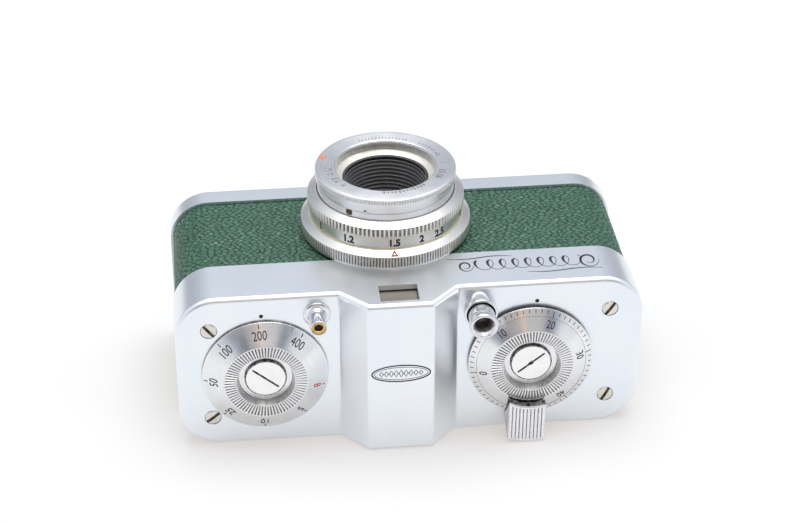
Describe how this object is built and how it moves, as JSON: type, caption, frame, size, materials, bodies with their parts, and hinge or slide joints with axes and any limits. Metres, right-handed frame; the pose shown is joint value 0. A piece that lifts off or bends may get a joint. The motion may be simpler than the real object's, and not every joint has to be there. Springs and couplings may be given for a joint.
{
  "type": "subminiature camera",
  "caption": "Subminiature film camera with a leather-clad casting, twin top dials, thumb advance lever, scale-focusing lens and slide-off back.",
  "frame": {"origin": "where the optical axis meets the outside of the back, with the camera lying on its back", "axes": "+Z along the optical axis towards the subject; -Y out of the top plate; +X to the right when the top plate is seen with the lens up"},
  "size_m": [0.078, 0.0425, 0.0406],
  "materials": {
    "satin_alloy": "satin-plated sheet metal",
    "die_casting": "matt black paint on die-cast alloy",
    "green_leather": "pebbled, semi-gloss",
    "turned_alloy": "lathe-turned, satin",
    "nickel_screws": "nickel-plated, polished",
    "chrome_posts": "polished",
    "brass_contact": "turned",
    "black_plastic": "moulded",
    "black_paint": "matt black",
    "optical_glass": "clear, uncoated",
    "steel_works": "machined",
    "spring_steel": "tempered",
    "blade_steel": "blued sheet"
  },
  "bodies": {
    "camera_body": {"main_casting": "die_casting", "lower_deck": "die_casting", "mechanism_plate": "die_casting", "light_chamber": "die_casting", "top_cover": "satin_alloy", "front_leather": "green_leather", "cover_screws": "nickel_screws", "index_dots": "black_paint", "finder_tube": "black_paint", "finder_objective": "optical_glass", "finder_eyepiece": "optical_glass", "film_gate": "die_casting", "flash_shell": "chrome_posts", "flash_contact": "brass_contact", "flash_insulator": "black_plastic", "release_collar": "chrome_posts", "base_ring": "turned_alloy", "lens_tube": "steel_works", "shutter_case": "black_paint", "shutter_plate": "black_paint"},
    "speed_dial": {"speed_dial": "turned_alloy", "speed_screw": "nickel_screws", "speed_spindle": "steel_works", "speed_cam": "steel_works"},
    "counter_dial": {"counter_dial": "turned_alloy"},
    "advance_lever": {"advance_lever": "turned_alloy", "advance_spindle": "steel_works", "advance_screw": "nickel_screws", "advance_gear": "steel_works"},
    "takeup": {"takeup_shaft": "steel_works", "takeup_gear": "steel_works"},
    "release_button": {"release_button": "chrome_posts", "release_clip": "chrome_posts", "release_spring": "spring_steel"},
    "focus_ring": {"focus_ring": "turned_alloy"},
    "lens_barrel": {"lens_barrel": "turned_alloy", "barrel_screw": "nickel_screws", "lens_baffle": "black_paint", "front_element": "optical_glass", "middle_element": "optical_glass", "rear_element": "optical_glass"},
    "aperture_ring": {"aperture_ring": "turned_alloy"},
    "back": {"back_cover": "satin_alloy", "back_leather": "green_leather", "pressure_plate": "black_paint", "pressure_spring": "spring_steel", "cassette_springs": "spring_steel", "tripod_bush": "brass_contact"},
    "lock_key": {"lock_key": "steel_works"},
    "iris_blade_1": {"iris_blade_1": "blade_steel"},
    "iris_blade_2": {"iris_blade_2": "blade_steel"},
    "iris_blade_3": {"iris_blade_3": "blade_steel"},
    "iris_blade_4": {"iris_blade_4": "blade_steel"},
    "iris_blade_5": {"iris_blade_5": "blade_steel"},
    "shutter_blade_1": {"shutter_blade_1": "blade_steel"},
    "shutter_blade_2": {"shutter_blade_2": "blade_steel"},
    "shutter_blade_3": {"shutter_blade_3": "blade_steel"}
  },
  "joints": [
    {"name": "speed_dial_turn", "type": "hinge", "parent": "camera_body", "child": "speed_dial", "pos_m": [-0.02225, -0.022, 0.01387], "axis": [0, -1, 0], "range_deg": [-252.4, 43.5]},
    {"name": "counter_dial_turn", "type": "hinge", "parent": "camera_body", "child": "counter_dial", "pos_m": [0.02225, -0.022, 0.01387], "axis": [0, -1, 0], "continuous": true},
    {"name": "advance_lever_swing", "type": "hinge", "parent": "camera_body", "child": "advance_lever", "pos_m": [0.02225, -0.022, 0.01387], "axis": [0, -1, 0], "range_deg": [0, 120], "stiffness_Nm_per_rad": 0.002, "springref_deg": -28.65},
    {"name": "takeup_turn", "type": "hinge", "parent": "camera_body", "child": "takeup", "pos_m": [0.02844, -0.012, 0.01387], "axis": [0, -1, 0], "range_deg": [-209, 1]},
    {"name": "release_press", "type": "slide", "parent": "camera_body", "child": "release_button", "axis": [0, 1, 0], "range_m": [0, 0.0014], "stiffness_N_per_m": 400, "springref_m": -0.0005, "deforming": ["release_spring"]},
    {"name": "focus_turn", "type": "hinge", "parent": "camera_body", "child": "focus_ring", "pos_m": [0, 0, 0.034], "axis": [0, 0, 1], "range_deg": [-106.3, 230.4]},
    {"name": "barrel_extend", "type": "slide", "parent": "camera_body", "child": "lens_barrel", "axis": [0, 0, 1], "range_m": [-0.000262, 0.000569]},
    {"name": "aperture_turn", "type": "hinge", "parent": "lens_barrel", "child": "aperture_ring", "pos_m": [0, 0, 0.0398], "axis": [0, 0, 1], "range_deg": [0, 75]},
    {"name": "back_slide", "type": "slide", "parent": "camera_body", "child": "back", "axis": [0, 1, 0], "range_m": [0, 0.04]},
    {"name": "lock_key_turn", "type": "hinge", "parent": "back", "child": "lock_key", "pos_m": [0.028, 0.0145, 0.014], "axis": [0, 1, 0], "range_deg": [0, 90]},
    {"name": "iris_blade_1_swing", "type": "hinge", "parent": "lens_barrel", "child": "iris_blade_1", "pos_m": [0.0058, 0, 0.0224], "axis": [0, 0, 1], "range_deg": [-1, 29]},
    {"name": "iris_blade_2_swing", "type": "hinge", "parent": "lens_barrel", "child": "iris_blade_2", "pos_m": [0.00179, 0.00552, 0.0224], "axis": [0, 0, 1], "range_deg": [-1, 29]},
    {"name": "iris_blade_3_swing", "type": "hinge", "parent": "lens_barrel", "child": "iris_blade_3", "pos_m": [-0.00469, 0.00341, 0.0224], "axis": [0, 0, 1], "range_deg": [-1, 29]},
    {"name": "iris_blade_4_swing", "type": "hinge", "parent": "lens_barrel", "child": "iris_blade_4", "pos_m": [-0.00469, -0.00341, 0.0224], "axis": [0, 0, 1], "range_deg": [-1, 29]},
    {"name": "iris_blade_5_swing", "type": "hinge", "parent": "lens_barrel", "child": "iris_blade_5", "pos_m": [0.00179, -0.00552, 0.0224], "axis": [0, 0, 1], "range_deg": [-1, 29]},
    {"name": "shutter_blade_1_swing", "type": "hinge", "parent": "camera_body", "child": "shutter_blade_1", "pos_m": [0.0072, 0, 0.0168], "axis": [0, 0, 1], "range_deg": [0, 58]},
    {"name": "shutter_blade_2_swing", "type": "hinge", "parent": "camera_body", "child": "shutter_blade_2", "pos_m": [-0.0036, 0.00624, 0.0168], "axis": [0, 0, 1], "range_deg": [-1, 59]},
    {"name": "shutter_blade_3_swing", "type": "hinge", "parent": "camera_body", "child": "shutter_blade_3", "pos_m": [-0.0036, -0.00624, 0.0168], "axis": [0, 0, 1], "range_deg": [-1, 59]}
  ],
  "couplings": [
    {"joint": "takeup_turn", "follows": "advance_lever_swing", "ratio": -1.7333},
    {"joint": "focus_turn", "follows": "barrel_extend", "rad_per_m": 7052.1},
    {"joint": "iris_blade_1_swing", "follows": "aperture_turn", "ratio": 0.37333},
    {"joint": "iris_blade_2_swing", "follows": "aperture_turn", "ratio": 0.37333},
    {"joint": "iris_blade_3_swing", "follows": "aperture_turn", "ratio": 0.37333},
    {"joint": "iris_blade_4_swing", "follows": "aperture_turn", "ratio": 0.37333},
    {"joint": "iris_blade_5_swing", "follows": "aperture_turn", "ratio": 0.37333},
    {"joint": "shutter_blade_2_swing", "follows": "shutter_blade_1_swing", "ratio": 1},
    {"joint": "shutter_blade_3_swing", "follows": "shutter_blade_1_swing", "ratio": 1}
  ]
}
